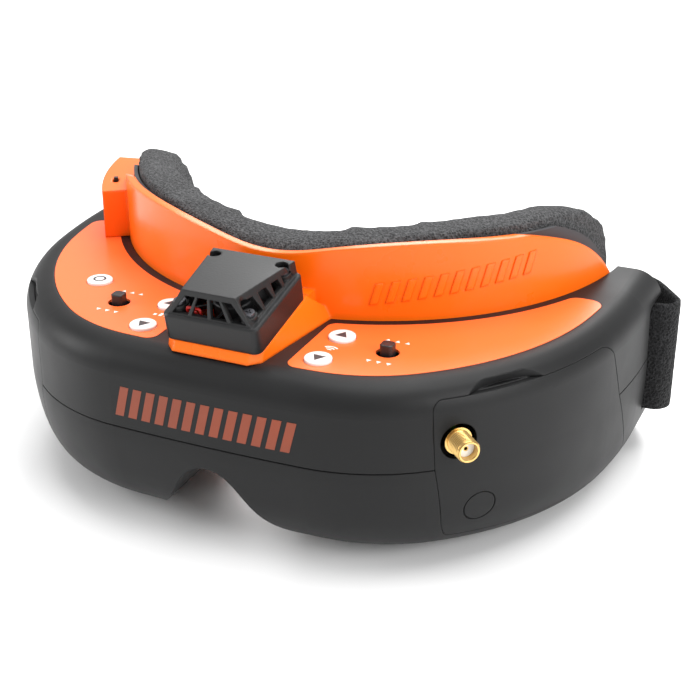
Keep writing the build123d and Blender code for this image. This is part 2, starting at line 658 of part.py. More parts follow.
with BuildPart() as faceplate:
    add(plate_form)
    add(plinth.part - face_band(FACE_R - PLATE_T, 1, 4, 90))
    # switch housing at the end of the top edge
    with BuildSketch(Plane.XY.offset(CONTROL_Z + 0.2)):
        with Locations((0, FACE_CENTER_Y)):
            Circle(88.3)
            Circle(FACE_R - PLATE_T, mode=Mode.SUBTRACT)
        Polygon(*wedge(*BLOCK_ANGLES), align=None, mode=Mode.INTERSECT)
    extrude(amount=BLOCK_TOP - CONTROL_Z - 0.2)
    with BuildSketch(Plane.XY.offset(CONTROL_Z)):
        with Locations((0, FACE_CENTER_Y)):
            Circle(86.8)
            Circle(81.6, mode=Mode.SUBTRACT)
        Polygon(*wedge(BLOCK_ANGLES[0] + 1.2, BLOCK_ANGLES[1] - 1.2), align=None, mode=Mode.INTERSECT)
    extrude(amount=BLOCK_TOP - CONTROL_Z - 1.4, mode=Mode.SUBTRACT)
    with BuildSketch(switch_plane.offset(BLOCK_TOP - 3)):
        SlotOverall(4.4, 2.0)
    extrude(amount=5, mode=Mode.SUBTRACT)
    add(fan_duct.part, mode=Mode.SUBTRACT)
    with BuildSketch(FAN_PLANE.offset(1)):
        with GridLocations(2 * FAN_SCREW, 2 * FAN_SCREW, 2, 2):
            Circle(1.05)
    extrude(amount=-4, mode=Mode.SUBTRACT)
    add(rods([(sum(LEAD_X) / 2, LEAD_Y)], 1.8, CONTROL_Z - 1, 70), mode=Mode.SUBTRACT)
    add(nose_cut(34, 33), mode=Mode.SUBTRACT)
    add(eye_windows(42, 35, 8), mode=Mode.SUBTRACT)
    for angle, height in PLATE_SCREWS:
        with BuildSketch(radial_plane(angle, FACE_R - PLATE_T - 1, height)):
            Circle(PLATE_SCREW_R + 0.1)
        extrude(amount=5, mode=Mode.SUBTRACT)
save(faceplate.part, "faceplate")

HEAD_R = FACE_R - PLATE_T - 0.06
with BuildPart() as plate_screws:
    for angle, height in PLATE_SCREWS:
        with BuildSketch(radial_plane(angle, HEAD_R, height)):
            Circle(PLATE_SCREW_R)
        extrude(amount=7.5)
        with BuildSketch(radial_plane(angle, HEAD_R - 1.2, height)):
            Circle(1.9)
        extrude(amount=1.2)
        with BuildSketch(radial_plane(angle, HEAD_R - 1.2, height)):
            Rectangle(2.2, 0.5)
            Rectangle(0.5, 2.2)
        extrude(amount=0.6, mode=Mode.SUBTRACT)
save(plate_screws.part, "faceplate_screws")

with BuildPart() as fan_switch:
    with BuildSketch(switch_plane.offset(BLOCK_TOP - 6.4)):
        Rectangle(8.6, 4.2)
    extrude(amount=4.9)
    with BuildSketch(switch_plane.offset(BLOCK_TOP - 3.4)):
        Rectangle(3.6, 1.4)
    extrude(amount=4, mode=Mode.SUBTRACT)
save(fan_switch.part, "fan_switch")
with BuildPart() as lever:
    with BuildSketch(switch_plane.offset(BLOCK_TOP - 3.3)):
        with Locations((0.8, 0)):
            Rectangle(1.4, 1.2)
    extrude(amount=4.1)
save(lever.part, "fan_switch_lever")

# ------------------------------------------------------------------ foam and its fastening
FOAM_R = 76.6
FOAM_T = 11.8
FOAM_TOP = ((0, 75.8), (22, 78.4), (44, 80.6), (62, 80.2), (90, 79.0))
FOAM_END = ((-15, 84), (15, 82.5), (36, 77), (48, 66), (51, 52))
FOAM_FOOT = ((51, 22), (44, 8))
STRIP_END = ((-12, 82), (12, 79.5), (28, 72.5), (45.5, 55))
STRIP_FOOT = ((45.5, 8),)
backing_form = face_band(FACE_R - PLATE_T - 0.1, FOAM_R + 0.3, 4, 90)
foam_form = face_band(FOAM_R, FOAM_R - FOAM_T, 4, 90)
with BuildPart() as face_window:
    with BuildSketch(Plane.XZ.offset(62)):
        with Locations((0, 36)):
            RectangleRounded(108, 46, 14)
    extrude(amount=-140)
with BuildPart() as foam:
    add(foam_form & face_outline(FOAM_TOP, FOAM_END, FOAM_FOOT))
    add(face_window.part, mode=Mode.SUBTRACT)
    add(nose_cut(40, 40), mode=Mode.SUBTRACT)
save(foam.part, "face_foam")
with BuildPart() as backing:
    strip_top = tuple((x, z - 2.6) for x, z in FOAM_TOP)
    add(backing_form & face_outline(strip_top, STRIP_END, STRIP_FOOT))
    add(face_window.part, mode=Mode.SUBTRACT)
    add(nose_cut(42, 42), mode=Mode.SUBTRACT)
    for angle, height in PLATE_SCREWS:
        with BuildSketch(radial_plane(angle, FOAM_R - 1, height)):
            Circle(2.4)
        extrude(amount=4, mode=Mode.SUBTRACT)
save(backing.part, "foam_fastener")

# ------------------------------------------------------------------ fan, built level and then tilted onto its plinth
TRAY = (27.8, 28.2, 7.6)
TRAY_WALL = 1.25
SCREW_SEAT = FAN_T + 2.3
VENT_FRONT = (-11.7, 14.9, 7.7)      # depth, height and half width of the top plate's front edge
VENT_REAR = (13.2, 11.4, 12.2)       # the same of its rear edge
VENT_FOOT = (12.4, -13.3, 13.4)      # half width, front and rear of the vent at the tray


def ring_face(points):
    """A flat four-sided face through the given corners."""
    with BuildLine() as ring:
        Polyline(*points, close=True)
    return Face(ring.wires()[0])


def vent_form(inset, low):
    """Tapered hood: level rectangle below, smaller sloping plate above."""
    half, front, rear = VENT_FOOT
    half, front, rear = half - inset, front + inset, rear - inset
    foot = ring_face([(-half, front, low), (half, front, low), (half, rear, low), (-half, rear, low)])
    corners = []
    for (depth, height, half), step in ((VENT_FRONT, inset), (VENT_REAR, -inset)):
        corners.append((half - inset, depth + step, height - inset))
    (half_f, y_f, z_f), (half_r, y_r, z_r) = corners
    top = ring_face([(-half_f, y_f, z_f), (half_f, y_f, z_f), (half_r, y_r, z_r), (-half_r, y_r, z_r)])
    with BuildPart() as hood:
        loft([foot, top], ruled=True)
    return hood.part


with BuildPart() as cover:
    with BuildSketch(Plane.XY.offset(0.05)):
        Rectangle(TRAY[0], TRAY[1])
    extrude(amount=TRAY[2])
    fillet(cover.edges().filter_by(Axis.Z), 2.2)
    chamfer(cover.faces().sort_by(Axis.Z)[-1].edges(), 0.5)
    add(vent_form(0.0, TRAY[2] - 0.5))
    with BuildSketch(Plane.XY):
        Rectangle(TRAY[0] - 2 * TRAY_WALL, TRAY[1] - 2 * TRAY_WALL)
    extrude(amount=TRAY[2] - 0.4, mode=Mode.SUBTRACT)
    add(vent_form(1.2, TRAY[2] - 0.6), mode=Mode.SUBTRACT)
    # front grille: four tapering slots between five ribs
    foot_half, top_half = 11.4, 6.9
    with BuildSketch(Plane.XZ.offset(9)):
        for middle in (-0.75, -0.25, 0.25, 0.75):
            left, right = middle - 0.205, middle + 0.205
            Polygon((left * foot_half, TRAY[2] + 0.4), (right * foot_half, TRAY[2] + 0.4),
                    (right * top_half, 13.3), (left * top_half, 13.3), align=None)
    extrude(amount=9, mode=Mode.SUBTRACT)
    # side grilles: four openings that get lower towards the rear
    with BuildSketch(Plane.YZ.offset(-20)):
        slope = (VENT_REAR[1] - VENT_FRONT[1]) / (VENT_REAR[0] - VENT_FRONT[0])
        for front, rear, lean in ((-11.4, -5.6, 1.6), (-4.6, 0.2, 0.7), (1.2, 5.4, 0.5), (6.4, 11.2, 0.0)):
            top_f = VENT_FRONT[1] + slope * (front + lean - VENT_FRONT[0]) - 1.6
            top_r = VENT_FRONT[1] + slope * (rear - VENT_FRONT[0]) - 1.6
            Polygon((front, TRAY[2] + 0.5), (rear, TRAY[2] + 0.5), (rear - 0.6, top_r), (front + lean, top_f),
                    align=None)
    extrude(amount=40, mode=Mode.SUBTRACT)
    # bosses for the four long screws, with room for their heads
    with BuildSketch(Plane.XY.offset(FAN_T + 0.3)):
        with GridLocations(2 * FAN_SCREW, 2 * FAN_SCREW, 2, 2):
            Circle(2.2)
    extrude(amount=2.0)
    with BuildSketch(Plane.XY.offset(FAN_T)):
        with GridLocations(2 * FAN_SCREW, 2 * FAN_SCREW, 2, 2):
            Circle(1.1)
    extrude(amount=8, mode=Mode.SUBTRACT)
    with BuildSketch(Plane.XY.offset(SCREW_SEAT)):
        with GridLocations(2 * FAN_SCREW, 2 * FAN_SCREW, 2, 2):
            Circle(1.8)
    extrude(amount=8, mode=Mode.SUBTRACT)
save(cover.part.moved(FAN_PLANE.location), "fan_cover")

with BuildPart() as frame:
    with BuildSketch(Plane.XY.offset(0.2)):
        RectangleRounded(FAN_SIZE, FAN_SIZE, 1.5)
        Circle(11.6, mode=Mode.SUBTRACT)
        with GridLocations(2 * FAN_SCREW, 2 * FAN_SCREW, 2, 2):
            Circle(1.1, mode=Mode.SUBTRACT)
    extrude(amount=FAN_T)
    with BuildSketch(Plane.XY.offset(0.2)):
        Circle(5.2)
        for angle in (30, 150, 270):
            with PolarLocations(8.2, 1, start_angle=angle):
                Rectangle(7.4, 1.4)
        Circle(1.1, mode=Mode.SUBTRACT)
    extrude(amount=1.0)
    with BuildSketch(Plane.XY):
        with Locations((sum(LEAD_X) / 2, -FAN_SIZE / 2)):
            Rectangle(3.4, 4.2)
    extrude(amount=10, mode=Mode.SUBTRACT)
save(frame.part.moved(FAN_PLANE.location), "fan_frame")

with BuildPart() as blade:
    with BuildSketch(Plane.YZ.offset(5.2)):
        Polygon((-2.0, 2.0), (-1.4, 1.9), (2.0, 5.9), (1.4, 6.0), align=None)
    with BuildSketch(Plane.YZ.offset(10.9)):
        Polygon((-3.2, 2.0), (-2.6, 1.9), (2.4, 5.5), (1.8, 5.6), align=None)
    loft(ruled=True)
with BuildPart() as rotor:
    with BuildSketch(Plane.XY.offset(1.6)):
        Circle(5.6)
    extrude(amount=5.0)
    fillet(rotor.faces().sort_by(Axis.Z)[-1].edges(), 0.6)
    with BuildSketch(Plane.XY.offset(0.5)):
        Circle(1.0)
    extrude(amount=1.2)
    for turn in range(7):
        add(blade.part.moved(Location((0, 0, 0), (0, 0, turn * 360 / 7))))
save(rotor.part.moved(FAN_PLANE.location), "fan_rotor")

with BuildPart() as fan_screws:
    corners = [(x, y) for x in (-FAN_SCREW, FAN_SCREW) for y in (-FAN_SCREW, FAN_SCREW)]
    for x, y in corners:
        with BuildSketch(Plane.XY.offset(-2.7)):
            with Locations((x, y)):
                Circle(1.0)
        extrude(amount=SCREW_SEAT + 2.7)
        with BuildSketch(Plane.XY.offset(SCREW_SEAT)):
            with Locations((x, y)):
                Circle(1.6)
        extrude(amount=0.9)
        with BuildSketch(Plane.XY.offset(SCREW_SEAT + 0.5)):
            with Locations((x, y)):
                Rectangle(1.8, 0.45)
                Rectangle(0.45, 1.8)
        extrude(amount=1, mode=Mode.SUBTRACT)
save(fan_screws.part.moved(FAN_PLANE.location), "fan_screws")

# each lead rises from the frame's rim, turns over and drops through the notch, plinth and shell
LEAD_RUN = ((-6.2, LEAD_X[0], 8.1), (-7.4, LEAD_X[1], 9.0))
LEAD_R = 0.4
with BuildPart() as leads:
    for start, drop, crest in LEAD_RUN:
        rim = FAN_PLANE.from_local_coords((start, LEAD_DROP, FAN_T + 0.2))
        over = FAN_PLANE.from_local_coords((start, LEAD_DROP, crest))
        turn = FAN_PLANE.from_local_coords((drop, LEAD_DROP, crest))
        foot = FAN_PLANE.from_local_coords((drop, LEAD_DROP, -1.5))
        end = Vector(foot.X, foot.Y, BOARD_TOP)
        with BuildLine() as route:
            FilletPolyline(rim, over, turn, foot, end, radius=(0.5, 0.5, 20.0))
        with BuildSketch(Plane(origin=rim, z_dir=FAN_PLANE.z_dir)):
            Circle(LEAD_R)
        sweep()
save(leads.part, "fan_leads")

# ------------------------------------------------------------------ head strap
# The long strap is folded for packing: two S folds of its middle lie behind the face opening, and
# each end turns forward round its pin in the corner notch and comes back on the inside.
REAR_RUN = STRAP_REAR - STRAP_T / 2
STRAP_LOW = 14.5
STRAP_REST = 0.5
PIN_IN = STRAP_PINS[0][0] - STRAP_PIN_R - 0.5 - STRAP_T / 2
PIN_FRONT = STRAP_PINS[0][1] - STRAP_PIN_R - 0.5 - STRAP_T / 2
LOOP_SIDE = ((66, 59.6), (80, 59.2), (PIN_IN, 51.5), (PIN_IN, PIN_FRONT), (103.5, PIN_FRONT + 0.8), (88.5, 61.9),
             (70, REAR_RUN))
LOOP_RADII = (4.0, 6.0, 2.7, 4.5, 12.0)
FOLDS = ((-48.5, REAR_RUN), (-48.5, 54), (49, 54), (49, 45), (-50, 45), (-59, 53.5), (-70, 61.6))
FOLD_RADII = (12.0, 4.2, 4.2, 4.2, 4.2, 6.0, 6.0, 6.0)
STRAP_PATH = LOOP_SIDE + FOLDS + tuple((-x, y) for x, y in reversed(LOOP_SIDE[1:-1])) + ((-73.5, 59.2),)
STRAP_RADII = LOOP_RADII + FOLD_RADII + tuple(reversed(LOOP_RADII))
with BuildPart() as strap:
    with BuildSketch(Plane.XY):
        with BuildLine():
            FilletPolyline(*STRAP_PATH, radius=STRAP_RADII)
        trace(line_width=STRAP_T)
    extrude(amount=60)
    half_profile = ((0, STRAP_REST), (58, STRAP_REST), (84, STRAP_LOW), (120, STRAP_LOW))
    outline = [(x, z) for x, z in half_profile] + [(x, z + STRAP_W) for x, z in reversed(half_profile)]
    with BuildSketch(Plane.XZ.offset(-80)):
        Polygon(*outline, align=None)
        mirror(about=Plane.YZ)
    extrude(amount=80, mode=Mode.INTERSECT)
save(strap.part, "head_strap")
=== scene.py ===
"""Curved video goggles.

Finishes, face foam, head strap, antenna thread and printed marks, built round the CAD frame.
"""
import math

import bmesh
import bpy
from bpy.props import FloatProperty, FloatVectorProperty, IntProperty, PointerProperty
from bpy.types import Operator, Panel, PropertyGroup
from mathutils import Matrix, Vector, noise
from mathutils.bvhtree import BVHTree


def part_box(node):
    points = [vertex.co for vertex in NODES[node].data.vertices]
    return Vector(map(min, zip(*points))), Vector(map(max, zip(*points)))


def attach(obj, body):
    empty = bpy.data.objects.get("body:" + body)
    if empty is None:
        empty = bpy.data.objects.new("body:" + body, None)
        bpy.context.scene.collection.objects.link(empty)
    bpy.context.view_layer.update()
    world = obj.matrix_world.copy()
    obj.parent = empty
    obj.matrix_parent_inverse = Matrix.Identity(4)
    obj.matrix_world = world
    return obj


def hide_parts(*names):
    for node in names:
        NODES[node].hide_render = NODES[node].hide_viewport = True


bl_info = {
    "name": "Video Goggles Builder",
    "version": (1, 0, 0),
    "blender": (4, 5, 0),
    "location": "View3D > Sidebar > Goggles",
    "description": "Builds the soft goods, marks and finishes of a pair of video goggles",
    "category": "Add Mesh",
}

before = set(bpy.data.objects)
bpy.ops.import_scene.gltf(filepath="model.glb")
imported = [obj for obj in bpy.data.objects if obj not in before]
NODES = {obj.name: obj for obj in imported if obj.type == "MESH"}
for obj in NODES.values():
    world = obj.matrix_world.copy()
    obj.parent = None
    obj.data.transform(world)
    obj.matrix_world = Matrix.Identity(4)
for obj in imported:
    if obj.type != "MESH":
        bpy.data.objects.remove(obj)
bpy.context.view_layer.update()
MM = 0.001
PLATE_AXIS_Y = 0.0551           # upright axis that the faceplate and the face foam curve round
PRINT_SINK = 0.00002            # how far printed marks reach into the surface below them
PRINT_PROUD = 0.00004           # how far they stand above it
REAR_RUN_Y = 60                 # in mm; the outer face of a strap loop lies behind this


# ---------------------------------------------------------------- settings
class GoggleColours(PropertyGroup):
    """Colours of the main finishes."""
    body: FloatVectorProperty(name="Body", description="Soft-touch shells and doors", subtype="COLOR",
                              default=(0.0085, 0.0086, 0.0089), min=0, max=1)
    plate: FloatVectorProperty(name="Faceplate", description="Glossy faceplate", subtype="COLOR",
                               default=(0.94, 0.145, 0.002), min=0, max=1)
    panel: FloatVectorProperty(name="Control panels", description="Satin control films", subtype="COLOR",
                               default=(0.92, 0.150, 0.026), min=0, max=1)
    key: FloatVectorProperty(name="Keys", description="Round keys", subtype="COLOR",
                             default=(0.80, 0.80, 0.78), min=0, max=1)
    print: FloatVectorProperty(name="Front print", description="Printed bars on the front", subtype="COLOR",
                               default=(0.22, 0.036, 0.009), min=0, max=1)


class GoggleSizes(PropertyGroup):
    """Sizes of the pieces that are made here."""
    foam_voxel: FloatProperty(name="Foam voxel", description="Cell size of the foam's remesh", unit="LENGTH",
                              default=0.0025, min=0.002, max=0.01)
    foam_swell: FloatProperty(name="Foam swell", description="Most that the foam may swell", unit="LENGTH",
                              default=0.0007, min=0, max=0.01)
    strap_width: FloatProperty(name="Strap width", description="Width of the strap", unit="LENGTH",
                               default=0.035, min=0.02, max=0.05)
    strap_thickness: FloatProperty(name="Strap thickness", description="Thickness of the strap",
                                   unit="LENGTH", default=0.0018, min=0.001, max=0.003)
    thread_pitch: FloatProperty(name="Thread pitch", description="Pitch of the antenna thread", unit="LENGTH",
                                default=0.000706, min=0.0003, max=0.002, precision=6)
    print_bars: IntProperty(name="Printed bars", description="Number of bars in the front print",
                            default=13, min=2, max=40)


# ---------------------------------------------------------------- node helpers
def add_sockets(group, inputs, outputs):
    """Gives a node group its named sockets; inputs maps a name to (socket type, default)."""
    for name, (kind, value) in inputs.items():
        socket = group.interface.new_socket(name=name, in_out="INPUT", socket_type=kind)
        socket.default_value = value
    for name, kind in outputs.items():
        group.interface.new_socket(name=name, in_out="OUTPUT", socket_type=kind)
    return group.nodes.new("NodeGroupInput"), group.nodes.new("NodeGroupOutput")


def math_node(nodes, operation, value=None, clamp=False):
    """A math node with its second value set."""
    node = nodes.new("ShaderNodeMath")
    node.operation = operation
    node.use_clamp = clamp
    if value is not None:
        node.inputs[1].default_value = value
    return node


def grain_group():
    """Fine and broad unevenness in object coordinates."""
    group = bpy.data.node_groups.get("moulded_grain")
    if group:
        return group
    group = bpy.data.node_groups.new("moulded_grain", "ShaderNodeTree")
    given, result = add_sockets(
        group, {"Scale": ("NodeSocketFloat", 1000.0), "Broad Scale": ("NodeSocketFloat", 40.0)},
        {"Fine": "NodeSocketFloat", "Broad": "NodeSocketFloat"})
    place = group.nodes.new("ShaderNodeTexCoord")
    for output, source, detail in (("Fine", "Scale", 3.0), ("Broad", "Broad Scale", 5.0)):
        field = group.nodes.new("ShaderNodeTexNoise")
        field.inputs["Detail"].default_value = detail
        group.links.new(place.outputs["Object"], field.inputs["Vector"])
        group.links.new(given.outputs[source], field.inputs["Scale"])
        group.links.new(field.outputs["Fac"], result.inputs[output])
    return group


def edge_group():
    """Rounded edges: a softened normal, and a mask that is high along sharp edges, where moulded paints its
    edge highlight.
    """
    group = bpy.data.node_groups.get("rounded_edges")
    if group:
        return group
    group = bpy.data.node_groups.new("rounded_edges", "ShaderNodeTree")
    given, result = add_sockets(group, {"Radius": ("NodeSocketFloat", 0.0005)},
                                {"Normal": "NodeSocketVector", "Edge": "NodeSocketFloat"})
    bevel = group.nodes.new("ShaderNodeBevel")
    bevel.samples = 4
    flat = group.nodes.new("ShaderNodeNewGeometry")
    dot = group.nodes.new("ShaderNodeVectorMath")
    dot.operation = "DOT_PRODUCT"
    turn = math_node(group.nodes, "SUBTRACT")
    turn.inputs[0].default_value = 1.0
    gain = math_node(group.nodes, "MULTIPLY", 6.0, clamp=True)
    group.links.new(given.outputs["Radius"], bevel.inputs["Radius"])
    group.links.new(bevel.outputs["Normal"], result.inputs["Normal"])
    group.links.new(bevel.outputs["Normal"], dot.inputs[0])
    group.links.new(flat.outputs["Normal"], dot.inputs[1])
    group.links.new(dot.outputs["Value"], turn.inputs[1])
    group.links.new(turn.outputs[0], gain.inputs[0])
    group.links.new(gain.outputs[0], result.inputs["Edge"])
    return group


def place_group(tree, group, **values):
    """Puts a shader group into a material with its own values."""
    node = tree.nodes.new("ShaderNodeGroup")
    node.node_tree = group
    for name, value in values.items():
        node.inputs[name.replace("_", " ")].default_value = value
    return node


def two_colours(tree, factor, low, high):
    """Mixes two colours by a factor socket and returns the result socket."""
    mix = tree.nodes.new("ShaderNodeMix")
    mix.data_type = "RGBA"
    mix.inputs["A"].default_value = (*low, 1)
    mix.inputs["B"].default_value = (*high, 1)
    tree.links.new(factor, mix.inputs["Factor"])
    return mix.outputs["Result"]


def spread(tree, factor, low, high):
    """Maps a factor's middle half onto low to high."""
    ramp = tree.nodes.new("ShaderNodeMapRange")
    ramp.inputs["From Min"].default_value = 0.3
    ramp.inputs["From Max"].default_value = 0.7
    ramp.inputs["To Min"].default_value = low
    ramp.inputs["To Max"].default_value = high
    tree.links.new(factor, ramp.inputs["Value"])
    return ramp.outputs["Result"]


def tinted(colour, gain):
    """A colour made lighter or darker."""
    return tuple(min(1.0, c * gain) for c in colour[:3])


def moulded(name, colour, rough, grain=1400.0, depth=0.00002, radius=0.0004, vary=0.12, edge=1.35, metal=0.0,
            coat=0.0, coat_rough=0.1, swing=0.05, shine=0.5):
    """A moulded, cast or turned finish: varied colour and gloss, fine grain, and a painted highlight that
    lightens the soft edges by the gain edge.
    """
    material = bpy.data.materials.get(name)
    if material:
        return material
    material = bpy.data.materials.new(name)
    material.use_nodes = True
    tree = material.node_tree
    shader = tree.nodes["Principled BSDF"]
    surface = place_group(tree, grain_group(), Scale=grain)
    edges = place_group(tree, edge_group(), Radius=radius)
    base = two_colours(tree, surface.outputs["Broad"], tinted(colour, 1 - vary), tinted(colour, 1 + vary))
    # painted highlight: the colour is lightened by the gain edge along sharp edges, where rounded edges catch
    # the light
    painted_edge_highlight = tree.nodes.new("ShaderNodeMix")
    painted_edge_highlight.data_type = "RGBA"
    painted_edge_highlight.inputs["B"].default_value = (*tinted(colour, edge), 1)
    tree.links.new(edges.outputs["Edge"], painted_edge_highlight.inputs["Factor"])
    tree.links.new(base, painted_edge_highlight.inputs["A"])
    bump = tree.nodes.new("ShaderNodeBump")
    bump.inputs["Distance"].default_value = depth
    tree.links.new(surface.outputs["Fine"], bump.inputs["Height"])
    tree.links.new(edges.outputs["Normal"], bump.inputs["Normal"])
    tree.links.new(painted_edge_highlight.outputs["Result"], shader.inputs["Base Color"])
    gloss = spread(tree, surface.outputs["Broad"], rough - swing, rough + swing)
    tree.links.new(gloss, shader.inputs["Roughness"])
    tree.links.new(bump.outputs["Normal"], shader.inputs["Normal"])
    shader.inputs["Metallic"].default_value = metal
    shader.inputs["Specular IOR Level"].default_value = shine
    shader.inputs["Coat Weight"].default_value = coat
    shader.inputs["Coat Roughness"].default_value = coat_rough
    return material


def fibrous(name, dark, light, cell, depth, sheen):
    """Foam or napped cloth: cells or tufts, with painted light on their tips and painted shade in their pits.
    """
    material = bpy.data.materials.get(name)
    if material:
        return material
    material = bpy.data.materials.new(name)
    material.use_nodes = True
    tree = material.node_tree
    shader = tree.nodes["Principled BSDF"]
    place = tree.nodes.new("ShaderNodeTexCoord")
    cells = tree.nodes.new("ShaderNodeTexVoronoi")
    cells.inputs["Scale"].default_value = cell
    surface = place_group(tree, grain_group(), Scale=cell * 1.7, Broad_Scale=60.0)
    tree.links.new(place.outputs["Object"], cells.inputs["Vector"])
    total = math_node(tree.nodes, "MULTIPLY")
    tree.links.new(cells.outputs["Distance"], total.inputs[0])
    tree.links.new(spread(tree, surface.outputs["Fine"], 0.4, 1.6), total.inputs[1])
    # painted light and shade: pale where the cells' tips would be lit, dark in the pits between them
    colour = two_colours(tree, total.outputs[0], dark, light)
    soil = tree.nodes.new("ShaderNodeMix")
    soil.data_type = "RGBA"
    soil.blend_type = "MULTIPLY"
    soil.inputs["Factor"].default_value = 0.5
    tree.links.new(colour, soil.inputs["A"])
    tree.links.new(surface.outputs["Broad"], soil.inputs["B"])
    bump = tree.nodes.new("ShaderNodeBump")
    bump.inputs["Distance"].default_value = depth
    tree.links.new(total.outputs[0], bump.inputs["Height"])
    tree.links.new(soil.outputs["Result"], shader.inputs["Base Color"])
    tree.links.new(spread(tree, surface.outputs["Broad"], 0.88, 1.0), shader.inputs["Roughness"])
    tree.links.new(bump.outputs["Normal"], shader.inputs["Normal"])
    shader.inputs["Sheen Weight"].default_value = sheen
    shader.inputs["Sheen Roughness"].default_value = 0.5
    shader.inputs["Specular IOR Level"].default_value = 0.2
    return material


def lens_glass():
    """Clear lens with a faint tint that changes over its surface."""
    material = bpy.data.materials.new("lens_glass")
    material.use_nodes = True
    tree = material.node_tree
    shader = tree.nodes["Principled BSDF"]
    surface = place_group(tree, grain_group(), Scale=300.0)
    tint = two_colours(tree, surface.outputs["Broad"], (0.80, 0.88, 0.95), (0.93, 0.96, 0.98))
    tree.links.new(tint, shader.inputs["Base Color"])
    tree.links.new(spread(tree, surface.outputs["Broad"], 0.01, 0.04), shader.inputs["Roughness"])
    shader.inputs["Transmission Weight"].default_value = 1.0
    shader.inputs["IOR"].default_value = 1.49
    return material


# ---------------------------------------------------------------- mesh helpers
def finish_cad(names, material):
    """Gives CAD nodes a material."""
    for name in names:
        piece = NODES[name]
        if not piece.material_slots:
            piece.data.materials.append(material)
        for place in piece.material_slots:
            place.material = material


def new_piece(name, verts, faces, material, smooth=False):
    """A mesh object at the origin, with outward normals."""
    mesh = bpy.data.meshes.new(name)
    mesh.from_pydata([tuple(v) for v in verts], [], faces)
    build = bmesh.new()
    build.from_mesh(mesh)
    bmesh.ops.remove_doubles(build, verts=build.verts, dist=1e-7)
    bmesh.ops.recalc_face_normals(build, faces=build.faces)
    build.to_mesh(mesh)
    build.free()
    mesh.materials.append(material)
    if smooth:
        mesh.shade_smooth()
    piece = bpy.data.objects.new(name, mesh)
    bpy.context.scene.collection.objects.link(piece)
    return piece


def bake_modifiers(piece):
    """Applies every modifier of a piece to its mesh."""
    bpy.context.view_layer.update()
    evaluated = piece.evaluated_get(bpy.context.evaluated_depsgraph_get())
    mesh = bpy.data.meshes.new_from_object(evaluated)
    piece.modifiers.clear()
    piece.data = mesh


def prisms(name, outlines, low, high, material):
    """Flat upright plates: each outline is a list of (x, y), counterclockwise."""
    verts, faces = [], []
    for outline in outlines:
        start, count = len(verts), len(outline)
        verts += [(x, y, low) for x, y in outline] + [(x, y, high) for x, y in outline]
        faces.append([start + i for i in reversed(range(count))])
        faces.append([start + count + i for i in range(count)])
        for i in range(count):
            j = (i + 1) % count
            faces.append([start + i, start + j, start + count + j, start + count + i])
    return new_piece(name, verts, faces, material)


def stand(piece, body):
    """Rides a finished piece on its body."""
    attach(piece, body)


# ---------------------------------------------------------------- geometry node trees
def start_row_tree(name, **sizes):
    """A geometry node tree for a row of shapes; sizes gives the inputs that the shape itself needs."""
    tree = bpy.data.node_groups.new(name, "GeometryNodeTree")
    inputs = {"Count": ("NodeSocketInt", 10), "Pitch": ("NodeSocketFloat", 0.004)}
    inputs.update({size: ("NodeSocketFloat", value) for size, value in sizes.items()})
    given, result = add_sockets(tree, inputs, {"Geometry": "NodeSocketGeometry"})
    return tree, given, result


def repeat_in_row(tree, given, result, shape, material, scale=None):
    """Repeats a shape along X, Count times at Pitch, as real geometry with a material."""
    row = tree.nodes.new("GeometryNodeMeshLine")
    offset = tree.nodes.new("ShaderNodeCombineXYZ")
    spots = tree.nodes.new("GeometryNodeInstanceOnPoints")
    real = tree.nodes.new("GeometryNodeRealizeInstances")
    paint = tree.nodes.new("GeometryNodeSetMaterial")
    paint.inputs["Material"].default_value = material
    link = tree.links.new
    link(given.outputs["Count"], row.inputs["Count"])
    link(given.outputs["Pitch"], offset.inputs["X"])
    link(offset.outputs["Vector"], row.inputs["Offset"])
    link(row.outputs["Mesh"], spots.inputs["Points"])
    link(shape, spots.inputs["Instance"])
    if scale is not None:
        link(scale, spots.inputs["Scale"])
    link(spots.outputs["Instances"], real.inputs["Geometry"])
    link(real.outputs["Geometry"], paint.inputs["Geometry"])
    link(paint.outputs["Geometry"], result.inputs["Geometry"])


def bar_row_tree(material):
    """A row of slanted flat bars in the XY plane."""
    tree, given, result = start_row_tree("slanted_bar_row", Width=0.0022, Height=0.009, Slant=0.25)
    bar = tree.nodes.new("GeometryNodeMeshGrid")
    bar.inputs["Vertices X"].default_value = 3
    bar.inputs["Vertices Y"].default_value = 7
    here = tree.nodes.new("GeometryNodeInputPosition")
    split = tree.nodes.new("ShaderNodeSeparateXYZ")
    lean = math_node(tree.nodes, "MULTIPLY")
    shift = tree.nodes.new("ShaderNodeCombineXYZ")
    sheared = tree.nodes.new("GeometryNodeSetPosition")
    link = tree.links.new
    link(given.outputs["Width"], bar.inputs["Size X"])
    link(given.outputs["Height"], bar.inputs["Size Y"])
    link(here.outputs["Position"], split.inputs["Vector"])
    link(split.outputs["Y"], lean.inputs[0])
    link(given.outputs["Slant"], lean.inputs[1])
    link(lean.outputs[0], shift.inputs["X"])
    link(bar.outputs["Mesh"], sheared.inputs["Geometry"])
    link(shift.outputs["Vector"], sheared.inputs["Offset"])
    repeat_in_row(tree, given, result, sheared.outputs["Geometry"], material)
    return tree


def stitch_row_tree(material):
    """A row of short round stitches along X."""
    tree, given, result = start_row_tree("stitch_row", Length=0.0022, Radius=0.0003)
    bead = tree.nodes.new("GeometryNodeMeshUVSphere")
    bead.inputs["Segments"].default_value = 6
    bead.inputs["Rings"].default_value = 5
    half = math_node(tree.nodes, "DIVIDE", 2.0)
    scale = tree.nodes.new("ShaderNodeCombineXYZ")
    link = tree.links.new
    link(given.outputs["Length"], half.inputs[0])
    link(half.outputs[0], scale.inputs["X"])
    link(given.outputs["Radius"], scale.inputs["Y"])
    link(given.outputs["Radius"], scale.inputs["Z"])
    repeat_in_row(tree, given, result, bead.outputs["Mesh"], material, scale.outputs["Vector"])
    return tree


